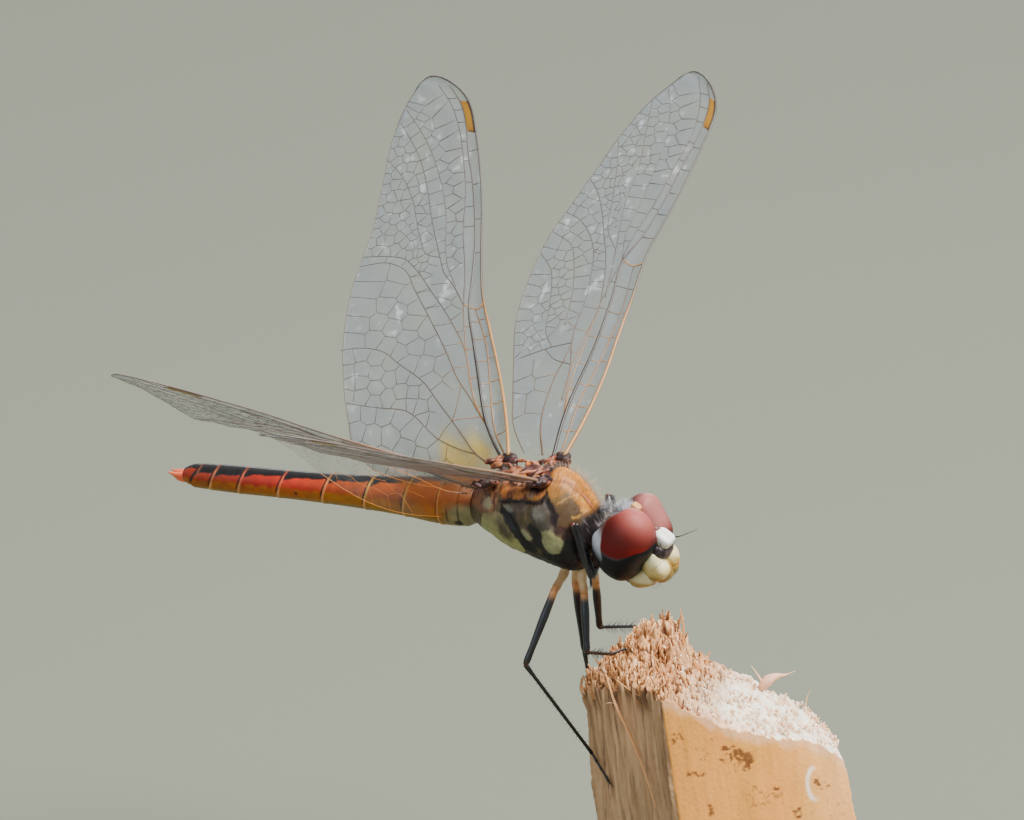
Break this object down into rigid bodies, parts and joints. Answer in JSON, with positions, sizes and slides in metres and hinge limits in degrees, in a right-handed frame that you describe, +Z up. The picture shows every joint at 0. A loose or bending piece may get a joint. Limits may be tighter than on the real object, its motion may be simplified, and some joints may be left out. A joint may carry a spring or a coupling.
{
  "type": "dragonfly",
  "caption": "Life-size coastal glider dragonfly with raised clear wings, perched on the broken end of a dry stem on a small round stand.",
  "frame": {"origin": "centre of the stand base's flat underside", "axes": "+X the way the insect heads, +Y to its left, +Z up"},
  "size_m": [0.0699, 0.0703, 0.0647],
  "materials": {
    "stand_black": "satin black paint on turned hardwood",
    "rod_steel": "brushed",
    "dry_stem": "dry, weathered, broken at the top",
    "thorax_olive": null,
    "neck_black": "insect cuticle, hairy",
    "eye_red": "insect eye, glossy with fine facets",
    "head_pale": "insect cuticle, satin",
    "face_white": "insect cuticle, satin",
    "face_cream": "insect cuticle, satin",
    "face_gold": "insect cuticle, satin",
    "face_brown": "insect cuticle, satin",
    "antenna_black": "insect cuticle, matt",
    "abdomen_orange": "insect cuticle, satin",
    "cercus_red": "insect cuticle, satin",
    "wing_clear": "clear insect wing membrane with dark veins",
    "leg_black": "insect cuticle, satin black"
  },
  "bodies": {
    "root": {"stand_base": "stand_black", "stand_rod": "rod_steel", "stem": "dry_stem", "thorax": "thorax_olive", "neck": "neck_black", "head": "head_pale", "eye_right": "eye_red", "eye_left": "eye_red", "frons": "face_white", "clypeus": "face_cream", "labrum": "face_gold", "labium": "face_brown", "antenna_right": "antenna_black", "antenna_left": "antenna_black", "abdomen_1": "abdomen_orange", "abdomen_2": "abdomen_orange", "abdomen_3": "abdomen_orange", "abdomen_4": "abdomen_orange", "abdomen_5": "abdomen_orange", "abdomen_6": "abdomen_orange", "abdomen_7": "abdomen_orange", "abdomen_8": "abdomen_orange", "abdomen_9": "abdomen_orange", "abdomen_10": "abdomen_orange", "cercus_right": "cercus_red", "cercus_left": "cercus_red", "epiproct": "cercus_red", "wing_fore_left": "wing_clear", "wing_fore_right": "wing_clear", "wing_hind_left": "wing_clear", "wing_hind_right": "wing_clear", "leg_fore_right_femur": "leg_black", "leg_fore_right_tibia": "leg_black", "leg_fore_right_tarsus": "leg_black", "leg_fore_left_femur": "leg_black", "leg_fore_left_tibia": "leg_black", "leg_fore_left_tarsus": "leg_black", "leg_mid_right_femur": "leg_black", "leg_mid_right_tibia": "leg_black", "leg_mid_right_tarsus": "leg_black", "leg_mid_left_femur": "leg_black", "leg_mid_left_tibia": "leg_black", "leg_mid_left_tarsus": "leg_black", "leg_hind_right_femur": "leg_black", "leg_hind_right_tibia": "leg_black", "leg_hind_right_tarsus": "leg_black", "leg_hind_left_femur": "leg_black", "leg_hind_left_tibia": "leg_black", "leg_hind_left_tarsus": "leg_black"}
  },
  "joints": []
}
